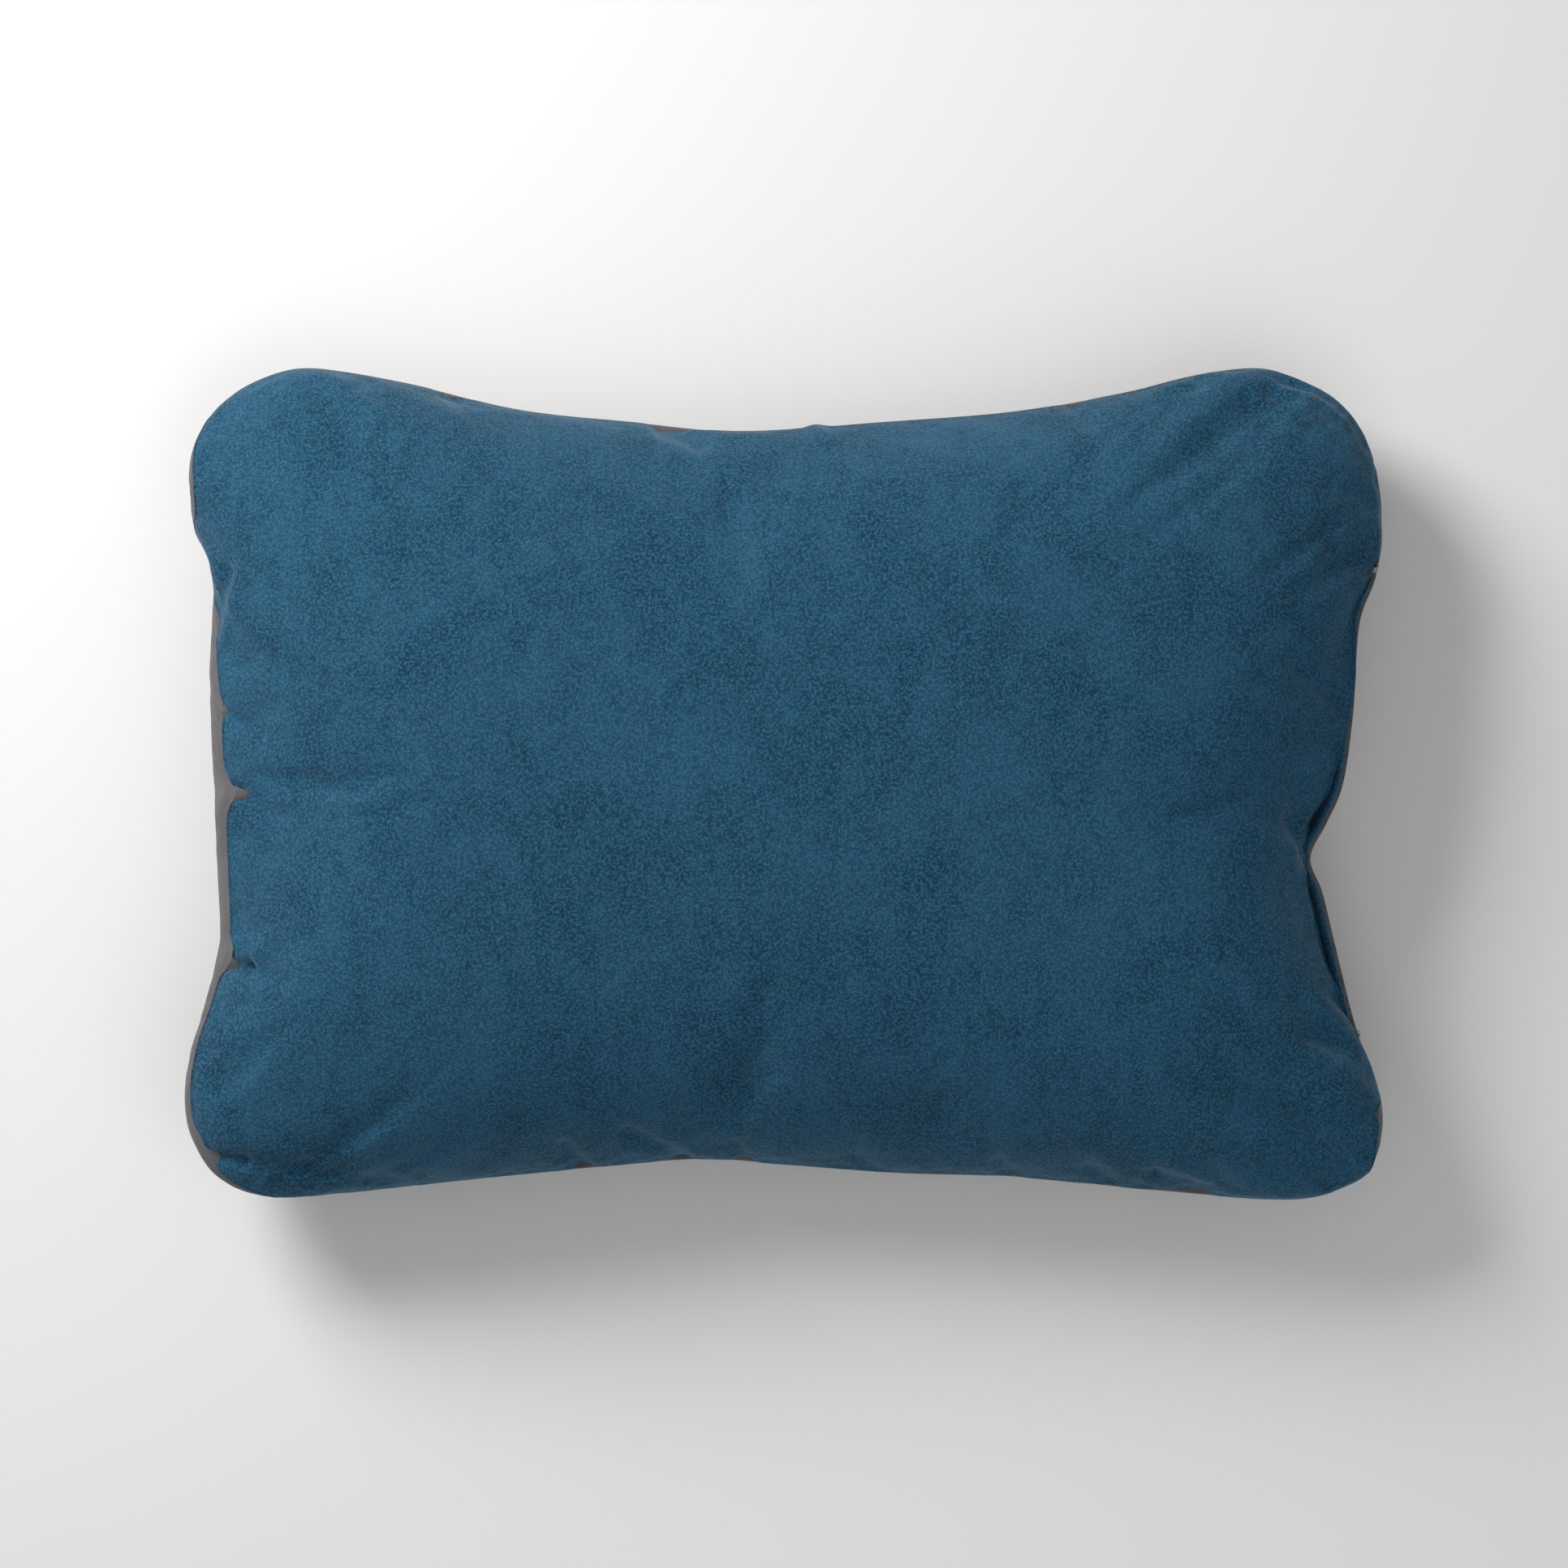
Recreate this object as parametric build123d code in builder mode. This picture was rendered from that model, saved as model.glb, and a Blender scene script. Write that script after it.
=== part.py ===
from build123d import *
import math
import os

# A stuffed camp pillow, lying on its back panel. +X runs along its length to
# the end with the stow pocket, +Y across its width and +Z up through its loft.
# The origin is on the ground under the middle of the pillow. Millimetres.

# Whole pillow
LOFT = 120.0  # height of the stuffed pillow over the ground
EQUATOR_Z = 52.0  # height where the outline is widest
SPINE_HALF = 130.0  # half length of the line that every level shrinks towards
FLAT_SHARE = 0.74  # size of the flat underside against the outline
CROWN_SHARE = 0.17  # size of the level top against the outline

# Cloth and its clearances
CLOTH = 1.2  # thickness of the front and back panels
LINING = 1.0  # thickness of the pocket leaves and the facing
EASE = 0.3  # air between pieces that only touch in use
THREAD = 0.8  # how far a bar tack stands out of the cloth

# Seam between the front and back panels: level from the pocket end to the
# middle, then rising towards the far end, where the back panel wraps round
SEAM_POCKET_END = 56.0
SEAM_FAR_END = 66.0
SEAM_BEND_X = -80.0

# Stow pocket: a flat sleeve inside the right-hand end
POCKET_END_X = 95.0  # inner end of the pocket
POCKET_FLOOR_Z = 60.0  # upper face of the back leaf
POCKET_GAP = 8.0  # height of the space between the leaves
POCKET_ROOF_Z = POCKET_FLOOR_Z + POCKET_GAP

# Mouth of the pocket, between its two bar tacks
MOUTH_TOP_Y = 106.0
MOUTH_BOTTOM_Y = -121.0
LIP_HINGE_X = 238.0  # line that the lip bends along when it is lifted
LIP_CUT = 0.4  # gap all round the lifting lip
FACING_BACK_X = 232.0  # where the facing ends, inside the mouth
TACK_WIDTH = 2.6
TACK_HEIGHT = 13.0

# A block that holds any part of the pillow
REACH = 330.0
TALL = 160.0

# Outline at its widest level, anticlockwise from the upper left corner
OUTLINE = [
    # upper left corner
    (-230, 203), (-252, 198.5), (-272, 187), (-287, 166), (-291, 147), (-286, 122),
    # far end, drawn in by its seam
    (-278, 102), (-279, 50), (-277, 0), (-275, -45), (-274, -76), (-281, -106),
    # lower left corner
    (-289, -131), (-292, -153), (-288, -177), (-273, -194), (-248, -201), (-205, -199),
    # lower side
    (-160, -194), (-105, -188.6), (-43, -183.5), (0, -186), (55, -190), (112, -192), (180, -198.5),
    # lower right corner
    (240, -203), (268, -199), (286, -187), (292, -166), (287, -142), (278, -118),
    # pocket mouth, with the pinch in its middle
    (268, -78), (262, -53), (256, -36), (264, -19), (272, 0), (277, 35), (280, 78), (288, 101),
    # upper right corner
    (291, 126), (287, 160), (274, 183), (256, 195), (232, 203), (200, 199.5),
    # upper side
    (165, 191), (112, 182), (50, 177), (-20, 172.5), (-75, 177), (-130, 183), (-185, 196),
]

# Levels of the stuffed shape, as shares of the way down from the widest level
# to the ground and of the way up from it to the top
LEVELS_DOWN = [1.0, 0.94, 0.84, 0.68, 0.4, 0.0]
LEVELS_UP = [0.22, 0.42, 0.6, 0.75, 0.87, 0.95, 1.0]


def share_below(level):
    """Size of the outline at a level under the widest one: full sides, flat underside."""
    return math.sqrt(1 - (1 - FLAT_SHARE**2) * level**3)


def share_above(level):
    """Size of the outline at a level over the widest one: an elliptical dome."""
    return math.sqrt(1 - (1 - CROWN_SHARE**2) * level**2)


def level_points(share, inset):
    """The outline drawn in by inset and shrunk to share of its size about the spine."""
    points = []
    for i, (x, y) in enumerate(OUTLINE):
        before = Vector(*OUTLINE[i - 1])
        after = Vector(*OUTLINE[(i + 1) % len(OUTLINE)])
        along = (after - before).normalized()
        inner = Vector(x, y) + Vector(-along.Y, along.X) * inset
        spine = Vector(max(-SPINE_HALF, min(SPINE_HALF, inner.X)), 0)
        points.append(spine + (inner - spine) * share)
    return points


def stuffed_shape(inset):
    """The pillow's outer shape, made smaller all round by inset, in plain flat facets."""
    levels = [(EQUATOR_Z - (EQUATOR_Z - inset) * down, share_below(down)) for down in LEVELS_DOWN]
    levels += [(EQUATOR_Z + (LOFT - EQUATOR_Z - inset) * up, share_above(up)) for up in LEVELS_UP]
    with BuildPart() as shape:
        for height, share in levels:
            with BuildSketch(Plane.XY.offset(height)):
                with BuildLine():
                    Polyline(*level_points(share, inset), close=True)
                make_face()
        loft(ruled=True)
    return shape.part


def block(x_low, x_high, y_low, y_high, z_low, z_high):
    """A plain box between two corners, for cutting and keeping parts of a shape."""
    with BuildPart(Plane.XY.offset(z_low)) as solid:
        with Locations(((x_low + x_high) / 2, (y_low + y_high) / 2)):
            Box(x_high - x_low, y_high - y_low, z_high - z_low, align=(Align.CENTER, Align.CENTER, Align.MIN))
    return solid.part


outside = stuffed_shape(0)
cloth_inside = stuffed_shape(CLOTH)
room_inside = stuffed_shape(CLOTH + EASE)

# Everything under the panel seam
with BuildPart() as under_seam:
    with BuildSketch(Plane.XZ):
        with BuildLine():
            Polyline(
                (-REACH, -TALL),
                (REACH, -TALL),
                (REACH, SEAM_POCKET_END),
                (SEAM_BEND_X, SEAM_POCKET_END),
                (-REACH, SEAM_FAR_END),
                close=True,
            )
        make_face()
    extrude(amount=REACH, both=True)

pocket_end = block(POCKET_END_X, REACH, -REACH, REACH, -TALL, TALL)
mouth_slit = block(LIP_HINGE_X, REACH, MOUTH_BOTTOM_Y, MOUTH_TOP_Y, SEAM_POCKET_END, POCKET_ROOF_Z)
lip_room = block(LIP_HINGE_X, REACH, MOUTH_BOTTOM_Y, MOUTH_TOP_Y, POCKET_ROOF_Z, TALL)
lip_block = block(
    LIP_HINGE_X + LIP_CUT,
    REACH,
    MOUTH_BOTTOM_Y + LIP_CUT,
    MOUTH_TOP_Y - LIP_CUT,
    POCKET_ROOF_Z,
    TALL,
)

# Front panel: the upper shell of cloth, open where the pocket's mouth is
with BuildPart() as front_panel:
    add(outside)
    add(cloth_inside, mode=Mode.SUBTRACT)
    add(under_seam.part, mode=Mode.SUBTRACT)
    add(mouth_slit, mode=Mode.SUBTRACT)
    add(lip_room, mode=Mode.SUBTRACT)
front_panel.part.label = "front_panel"

# Back panel: the lower shell, with the flat underside that the pillow lies on
with BuildPart() as back_panel:
    add(outside)
    add(cloth_inside, mode=Mode.SUBTRACT)
    add(under_seam.part, mode=Mode.INTERSECT)
back_panel.part.label = "back_panel"

# Fill: the main mass, and the two layers that the pocket lies between
with BuildPart() as foam_core:
    add(room_inside)
    add(block(-REACH, POCKET_END_X - EASE, -REACH, REACH, -TALL, TALL), mode=Mode.INTERSECT)
foam_core.part.label = "foam_core"

with BuildPart() as foam_under_pocket:
    add(room_inside)
    add(
        block(POCKET_END_X, REACH, -REACH, REACH, -TALL, POCKET_FLOOR_Z - LINING - EASE),
        mode=Mode.INTERSECT,
    )
foam_under_pocket.part.label = "foam_under_pocket"

with BuildPart() as foam_over_pocket:
    add(room_inside)
    add(
        block(POCKET_END_X, REACH, -REACH, REACH, POCKET_ROOF_Z + LINING + EASE, TALL),
        mode=Mode.INTERSECT,
    )
    add(lip_room, mode=Mode.SUBTRACT)
foam_over_pocket.part.label = "foam_over_pocket"

# Pocket leaves: flat lining sheets, the back one turned up at the inner end
# to the seam that joins them
with BuildPart() as pocket_leaf_back:
    add(room_inside)
    add(
        block(POCKET_END_X, REACH, -REACH, REACH, POCKET_FLOOR_Z - LINING, POCKET_ROOF_Z),
        mode=Mode.INTERSECT,
    )
    add(
        block(POCKET_END_X + LINING, REACH, -REACH, REACH, POCKET_FLOOR_Z, TALL),
        mode=Mode.SUBTRACT,
    )
pocket_leaf_back.part.label = "pocket_leaf_back"

with BuildPart() as pocket_leaf_front:
    add(room_inside)
    add(
        block(POCKET_END_X, REACH, -REACH, REACH, POCKET_ROOF_Z, POCKET_ROOF_Z + LINING),
        mode=Mode.INTERSECT,
    )
    add(lip_room, mode=Mode.SUBTRACT)
pocket_leaf_front.part.label = "pocket_leaf_front"

# Facing: the strip that finishes the mouth's lower edge, lying on the back leaf
with BuildPart() as mouth_facing:
    add(outside)
    add(
        block(
            POCKET_END_X,
            REACH,
            MOUTH_BOTTOM_Y + LIP_CUT,
            MOUTH_TOP_Y - LIP_CUT,
            POCKET_FLOOR_Z,
            POCKET_FLOOR_Z + LINING,
        ),
        mode=Mode.INTERSECT,
    )
    add(block(POCKET_END_X, FACING_BACK_X, -REACH, REACH, -TALL, TALL), mode=Mode.SUBTRACT)
mouth_facing.part.label = "mouth_facing"

# Lifting lip of the mouth: its cloth, the fill behind it and its lining
with BuildPart() as mouth_lip:
    add(outside)
    add(cloth_inside, mode=Mode.SUBTRACT)
    add(lip_block, mode=Mode.INTERSECT)
mouth_lip.part.label = "mouth_lip"

with BuildPart() as lip_fill:
    add(room_inside)
    add(lip_block, mode=Mode.INTERSECT)
    add(
        block(POCKET_END_X, REACH, -REACH, REACH, -TALL, POCKET_ROOF_Z + LINING + EASE),
        mode=Mode.SUBTRACT,
    )
lip_fill.part.label = "lip_fill"

with BuildPart() as lip_lining:
    add(room_inside)
    add(lip_block, mode=Mode.INTERSECT)
    add(
        block(POCKET_END_X, REACH, -REACH, REACH, POCKET_ROOF_Z + LINING, TALL),
        mode=Mode.SUBTRACT,
    )
lip_lining.part.label = "lip_lining"

# Bar tacks: short bars of thread that stop the mouth tearing at its two ends
proud_of_cloth = stuffed_shape(-THREAD)
tack_low_z = SEAM_POCKET_END + (POCKET_ROOF_Z - SEAM_POCKET_END - TACK_HEIGHT) / 2
tacks = []
for name, y in (("bar_tack_upper", MOUTH_TOP_Y), ("bar_tack_lower", MOUTH_BOTTOM_Y)):
    outward = math.copysign(TACK_WIDTH / 2, y)
    with BuildPart() as tack:
        add(proud_of_cloth)
        add(outside, mode=Mode.SUBTRACT)
        add(
            block(
                LIP_HINGE_X,
                REACH,
                y + outward - TACK_WIDTH / 2,
                y + outward + TACK_WIDTH / 2,
                tack_low_z,
                tack_low_z + TACK_HEIGHT,
            ),
            mode=Mode.INTERSECT,
        )
    tack.part.label = name
    tacks.append(tack)

os.makedirs("parts", exist_ok=True)
export_step(front_panel.part, "parts/front_panel.step")
export_step(back_panel.part, "parts/back_panel.step")
export_step(foam_core.part, "parts/foam_core.step")
export_step(foam_under_pocket.part, "parts/foam_under_pocket.step")
export_step(foam_over_pocket.part, "parts/foam_over_pocket.step")
export_step(pocket_leaf_back.part, "parts/pocket_leaf_back.step")
export_step(pocket_leaf_front.part, "parts/pocket_leaf_front.step")
export_step(mouth_facing.part, "parts/mouth_facing.step")
export_step(mouth_lip.part, "parts/mouth_lip.step")
export_step(lip_fill.part, "parts/lip_fill.step")
export_step(lip_lining.part, "parts/lip_lining.step")
for tack in tacks:
    export_step(tack.part, f"parts/{tack.part.label}.step")
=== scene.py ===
import math

import bpy
import numpy as np
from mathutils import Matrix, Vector, noise
from mathutils.bvhtree import BVHTree
from mathutils.interpolate import poly_3d_calc


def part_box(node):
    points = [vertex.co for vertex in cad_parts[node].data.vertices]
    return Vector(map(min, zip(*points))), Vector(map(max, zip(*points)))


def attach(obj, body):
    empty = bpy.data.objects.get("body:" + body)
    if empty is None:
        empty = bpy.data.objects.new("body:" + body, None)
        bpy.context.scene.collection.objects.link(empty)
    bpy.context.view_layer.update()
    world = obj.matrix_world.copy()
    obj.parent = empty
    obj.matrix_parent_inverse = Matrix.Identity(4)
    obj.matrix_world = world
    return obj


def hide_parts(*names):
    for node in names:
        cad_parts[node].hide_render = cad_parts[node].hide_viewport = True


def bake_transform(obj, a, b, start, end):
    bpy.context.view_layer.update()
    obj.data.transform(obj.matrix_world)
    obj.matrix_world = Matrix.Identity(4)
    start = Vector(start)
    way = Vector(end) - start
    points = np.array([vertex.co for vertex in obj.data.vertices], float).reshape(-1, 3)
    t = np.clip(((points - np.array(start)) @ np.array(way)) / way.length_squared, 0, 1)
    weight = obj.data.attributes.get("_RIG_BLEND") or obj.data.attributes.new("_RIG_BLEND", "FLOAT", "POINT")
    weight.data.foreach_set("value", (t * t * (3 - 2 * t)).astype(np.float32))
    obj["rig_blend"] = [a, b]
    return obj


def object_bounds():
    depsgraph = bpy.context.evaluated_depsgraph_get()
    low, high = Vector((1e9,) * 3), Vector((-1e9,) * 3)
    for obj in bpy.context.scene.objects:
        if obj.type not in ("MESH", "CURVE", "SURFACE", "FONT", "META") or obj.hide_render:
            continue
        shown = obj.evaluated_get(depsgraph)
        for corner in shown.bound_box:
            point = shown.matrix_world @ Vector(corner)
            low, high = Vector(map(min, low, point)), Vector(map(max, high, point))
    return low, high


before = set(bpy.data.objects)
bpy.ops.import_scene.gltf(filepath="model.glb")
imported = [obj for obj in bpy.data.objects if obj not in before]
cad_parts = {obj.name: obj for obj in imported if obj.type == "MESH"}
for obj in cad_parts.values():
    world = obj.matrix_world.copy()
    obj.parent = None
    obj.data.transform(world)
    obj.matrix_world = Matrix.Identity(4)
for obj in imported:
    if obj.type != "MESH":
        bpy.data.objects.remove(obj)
CAD_LOW, CAD_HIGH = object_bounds()

# A stuffed camp pillow lying on its back panel: brushed blue face up, plain gray
# back down, and a stow pocket whose mouth is a slit along the right-hand end.

MM = 0.001

# Stuffed case, as the frame has it
LOFT = CAD_HIGH.z
WIDEST_Z = 52 * MM  # height where the outline is widest
SPINE_HALF = 130 * MM  # half length of the line that every level shrinks towards
FLAT_SHARE = 0.74  # size of the flat underside against the outline
DRAWN_IN = -0.4 * MM  # how far inside the outline the case starts, before it swells
CROWN_DROP = 9 * MM  # how much lower its crown starts
EASING = 0.30  # how fast the outline's corners and hollows die away towards the crown

# Mesh of the case
COLUMNS = 960  # round the outline
FACE_ROWS = 78  # from the seam to the crown
SIDE_ROWS = 34  # from the seam down to the ground
UNDER_ROWS = 22  # across the underside
HALVING = (0.62, 0.81, 0.91)  # share of the way to the crown where columns pair up
LAST_RING = 0.97  # share of the way to the crown where the rings end

# Panel seam
SEAM_RADIUS = 1.3 * MM  # turn of each panel into the seam
SEAM_TUCK = 6 * MM  # margin turned inside
SEAM_LEVEL = 44 * MM  # height of the seam along the long sides
SEAM_EVENING = 5 * MM  # length over which the seam's line is evened out

# Pocket mouth
MOUTH_SIDE = 200 * MM  # all of the mouth lies beyond this x
MOUTH_TOP = 106 * MM  # y of the upper bar tack
MOUTH_BOTTOM = -121 * MM
MOUTH_EASING = 30 * MM  # length over which the seam climbs to the mouth's level
PINCH_Y = -36 * MM  # where the two lips are drawn together
BACK_LIP_Z = 57 * MM
FRONT_LIP_Z = 68.5 * MM
HEM_RADIUS = 2.2 * MM  # turn of the front lip into the pocket
POCKET_REACH = 46 * MM  # how far the lip's own cloth runs into the pocket
POCKET_END = 96 * MM  # x of the pocket's inner end
LINING_FRONT = 236 * MM  # x where the lining starts, under the lip's own cloth
LIFT_FADE = 55 * MM  # length over which the lip's lift grows from nothing at a bar tack
TACK_STRANDS = 6
TACK_PITCH = 0.40 * MM  # from strand to strand
TACK_HEIGHT = 7 * MM
THREAD_RADIUS = 0.25 * MM


def smooth(t):
    """0 to 1 with no corner at either end, for t from 0 to 1."""
    t = np.clip(t, 0.0, 1.0)
    return t * t * (3 - 2 * t)


# ---------------------------------------------------------------- outline


def frame_outline():
    """The widest outline, from the frame's back panel, anticlockwise from the far end."""
    corners = {
        (round(v.co.x, 4), round(v.co.y, 4))
        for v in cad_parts["back_panel"].data.vertices
        if abs(v.co.z - WIDEST_Z) < 1e-5
    }

    def out(p):
        return math.hypot(p[0] - max(-SPINE_HALF, min(SPINE_HALF, p[0])), p[1])

    # the panel has an inner and an outer skin: the outer corner of each pair is kept
    kept = [
        p for p in corners
        if not any(0 < math.dist(p, q) < 2.5 * MM and out(q) > out(p) for q in corners)
    ]
    return np.array(sorted(kept, key=lambda p: math.atan2(p[1], p[0])))


def rounded(points, count):
    """A smooth closed curve through the points: count points, half of them from the far end along
    the lower side to the pocket end, and half back along the upper side."""
    spans = []
    steps = np.linspace(0, 1, 24, endpoint=False)[:, None]
    for i in range(len(points)):
        a, b, c, d = (points[(i + k) % len(points)] for k in (-1, 0, 1, 2))
        spans.append(
            0.5 * (2 * b + (c - a) * steps + (2 * a - 5 * b + 4 * c - d) * steps**2
                   + (3 * b - a - 3 * c + d) * steps**3)
        )
    curve = np.vstack(spans)
    closed = np.vstack([curve, curve[:1]])
    along = np.concatenate([[0], np.cumsum(np.linalg.norm(np.diff(closed, axis=0), axis=1))])
    turning = np.argmin(np.where(curve[:, 0] > 0, np.abs(curve[:, 1]), 1))
    half = count // 2
    wanted = np.concatenate([
        np.linspace(0, along[turning], half, endpoint=False),
        np.linspace(along[turning], along[-1], half, endpoint=False),
    ])
    return np.column_stack([np.interp(wanted, along, closed[:, k]) for k in (0, 1)])


OUTLINE = rounded(frame_outline(), COLUMNS)
TANGENT = np.roll(OUTLINE, -1, axis=0) - np.roll(OUTLINE, 1, axis=0)
TANGENT /= np.linalg.norm(TANGENT, axis=1)[:, None]
OUTWARD = np.column_stack([TANGENT[:, 1], -TANGENT[:, 0]])
X, Y = OUTLINE.T
SPINE = np.column_stack([X / (1 + np.abs(X / SPINE_HALF) ** 4) ** 0.25, np.zeros(COLUMNS)])

AT_MOUTH = (X > MOUTH_SIDE) & (Y < MOUTH_TOP) & (Y > MOUTH_BOTTOM)


def along_y(points, y):
    """A value that follows a short list of (y, value) points, eased between them."""
    ys, values = np.array(sorted(points), float).T
    i = np.clip(np.searchsorted(ys, y) - 1, 0, len(ys) - 2)
    t = smooth((y - ys[i]) / (ys[i + 1] - ys[i]))
    return values[i] * (1 - t) + values[i + 1] * t


def evened(values, length):
    """Values round the outline, smoothed over a length of it."""
    order = np.abs(np.fft.fftfreq(COLUMNS, 1 / COLUMNS))
    round_outline = np.linalg.norm(np.diff(OUTLINE, axis=0), axis=1).sum()
    keep = np.exp(-0.5 * (order * 2 * math.pi * length / round_outline) ** 2)
    return np.fft.ifft(np.fft.fft(values) * keep).real


# Pleats where the seam of the far end is drawn in: y, half width and rise, in mm
FAR_END_PLEATS = [(-4, 6.0, 8), (-86, 5.5, 9), (-178, 5.0, 5)]


def seam_height():
    """Height of the panel seam round the case. It rises at the far end and at one corner of the
    pocket end, where the gray back wraps round."""
    far_end = along_y(
        [(-0.203, 60), (-0.190, 65), (-0.150, 67), (-0.110, 68), (-0.040, 70), (0.040, 70),
         (0.072, 66), (0.101, 51), (0.115, 52), (0.138, 68), (0.152, 68), (0.172, 58), (0.192, 44)],
        Y,
    ) * MM
    for y, width, rise in FAR_END_PLEATS:
        far_end = far_end + rise * MM * np.exp(-(((Y - y * MM) / (width * MM)) ** 2))
    share = smooth((-X - 225 * MM) / (35 * MM))
    height = SEAM_LEVEL * (1 - share) + far_end * share
    corner = smooth(1.35 - np.hypot(X - 291 * MM, Y + 170 * MM) / (24 * MM))
    return evened(height + corner * 21 * MM, SEAM_EVENING)


def mouth_openness():
    """0 outside the mouth, 1 where it gapes, small at the pinch in its middle."""
    ends = smooth((MOUTH_TOP - Y) / (16 * MM)) * smooth((Y - MOUTH_BOTTOM) / (16 * MM))
    pinch = 1 - 0.75 * np.exp(-(((Y - PINCH_Y) / (9 * MM)) ** 2))
    return np.where(AT_MOUTH, ends * pinch, 0.0)


GAPE = mouth_openness()
NEAR_MOUTH = (
    smooth((X - MOUTH_SIDE) / MOUTH_EASING)
    * smooth((MOUTH_TOP + MOUTH_EASING - Y) / MOUTH_EASING)
    * smooth((Y - MOUTH_BOTTOM + MOUTH_EASING) / MOUTH_EASING)
)
SEAM_Z = seam_height() * (1 - NEAR_MOUTH) + BACK_LIP_Z * NEAR_MOUTH
LIP_Z = SEAM_Z + (FRONT_LIP_Z - BACK_LIP_Z) * GAPE
# How far the front lip lies inside the widest outline, seen from above
LIP_INSET = along_y(
    [(-0.3, 2), (-0.121, 2), (-0.108, 5), (-0.085, 8), (-0.055, 8), (-0.040, 3), (-0.036, 1.5),
     (-0.030, 5), (-0.021, 9), (0.0, 7), (0.03, 4), (0.055, 1.8), (0.070, 2.6), (0.088, 4.4),
     (0.100, 3.2), (0.107, 1.5), (0.3, 1)],
    Y,
) * MM

# ---------------------------------------------------------------- shape of the case


def eased_outline(turn):
    """The outline a little inside the edge, whose corners and hollows die away towards the crown.
    turn is the row's height as degrees from the widest level."""
    waves = np.fft.fft(OUTLINE[:, 0] + 1j * OUTLINE[:, 1])
    order = np.abs(np.fft.fftfreq(COLUMNS, 1 / COLUMNS))
    spread = EASING * abs(turn) / 90
    waves *= np.exp(-np.maximum(order**2 - 1, 0) * spread**2)
    eased = np.fft.ifft(waves)
    return np.column_stack([eased.real, eased.imag])


def drawn_in(turn):
    """Points of the case before it swells, at each turn (degrees from the widest level: 90 the
    crown, -90 the ground). turn is rows by columns."""
    sine = np.sin(np.radians(turn))
    share_up = np.cos(np.radians(np.clip(turn, 0, 90)))
    share_down = np.sqrt(1 - (1 - FLAT_SHARE**2) * np.clip(-sine, 0, 1) ** 3)
    share = np.where(turn >= 0, share_up, share_down)
    z = WIDEST_Z + np.where(turn >= 0, LOFT - WIDEST_Z - CROWN_DROP, WIDEST_Z) * sine
    rows = []
    for row_turn, row_share in zip(turn, share):
        edge = eased_outline(float(np.mean(row_turn))) - OUTWARD * DRAWN_IN * row_share[:, None]
        rows.append(SPINE + (edge - SPINE) * row_share[:, None])
    return np.concatenate([np.array(rows), z[..., None]], axis=-1)


def turn_of(height):
    """The turn at which the case reaches a height."""
    reach = np.where(height >= WIDEST_Z, LOFT - WIDEST_Z - CROWN_DROP, WIDEST_Z)
    return np.degrees(np.arcsin(np.clip((height - WIDEST_Z) / reach, -1, 1)))


def under_side(rows):
    """Points of the flat underside, from its rim to near the spine."""
    share = np.linspace(1, 0.04, rows + 1)[1:, None] * FLAT_SHARE
    edge = eased_outline(90) - OUTWARD * DRAWN_IN
    xy = SPINE + (edge - SPINE) * share[..., None]
    return np.concatenate([xy, np.zeros((rows, COLUMNS, 1))], axis=-1)


def at_spine(height):
    """Where every column ends, on the spine at a height."""
    return np.column_stack([SPINE, np.full(COLUMNS, height)])


def both_sides(row):
    """A ring's values along the spine, averaged over its two sides."""
    return np.array([(row[i] + row[-i]) / 2 for i in range(len(row) // 2 + 1)])


def cloth_mesh(name, points, faces):
    """A smooth-shaded mesh."""
    made = bpy.data.meshes.new(name)
    made.from_pydata([tuple(p) for p in points], [], faces)
    made.polygons.foreach_set("use_smooth", [True] * len(made.polygons))
    made.update()
    return made


def placed(name, data):
    """An object of a mesh, lamp or camera, in the scene."""
    made = bpy.data.objects.new(name, data)
    bpy.context.scene.collection.objects.link(made)
    return made


def mark_cloth(mesh, places):
    """Writes where each point lies on its flat cloth, for the materials."""
    attribute = mesh.attributes.new("cloth", "FLOAT_VECTOR", "POINT")
    places = np.column_stack([places, np.zeros(len(places))])
    attribute.data.foreach_set("vector", places.astype(np.float32).ravel())


class Sheet:
    """Rings of points joined into faces, outermost first."""

    def __init__(self):
        self.points, self.faces, self.rings = [], [], []

    def ring(self, points):
        """Adds a ring of points inside the last one."""
        first = sum(len(r) for r in self.rings)
        self.points.append(points)
        self.rings.append(list(range(first, first + len(points))))
        if len(self.rings) > 1:
            self.join(*self.rings[-2:])

    def join(self, a, b):
        """Faces between two rings, of which b has as many points as a or half as many."""
        n = len(b)
        if len(a) == n:
            self.faces += [(a[i], a[(i + 1) % n], b[(i + 1) % n], b[i]) for i in range(n)]
            return
        for i in range(n):  # two columns of a become one of b
            p, q, r = a[2 * i], a[2 * i + 1], a[(2 * i + 2) % len(a)]
            u, v = b[i], b[(i + 1) % n]
            self.faces += [(p, q, u), (q, v, u), (q, r, v)]

    def close(self, points):
        """Joins the last ring to a row of points along the spine, shared by its two sides."""
        ring, n = self.rings[-1], len(self.rings[-1])
        half = n // 2
        shared = both_sides(points)
        first = ring[-1] + 1
        self.points.append(shared)
        self.rings.append(list(range(first, first + half + 1)))
        for i in range(n):
            a, b = first + min(i, n - i), first + min(i + 1, n - i - 1)
            self.faces.append(tuple(dict.fromkeys((ring[i], ring[(i + 1) % n], b, a))))

    def mesh(self, name, flip=False):
        faces = [f[::-1] for f in self.faces] if flip else self.faces
        return cloth_mesh(name, np.vstack(self.points), faces)


def columns_at(share):
    """Every how many columns are kept at a share of the way to the crown."""
    return 2 ** sum(share > limit for limit in HALVING)


# ---------------------------------------------------------------- inflating the cloth

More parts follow.
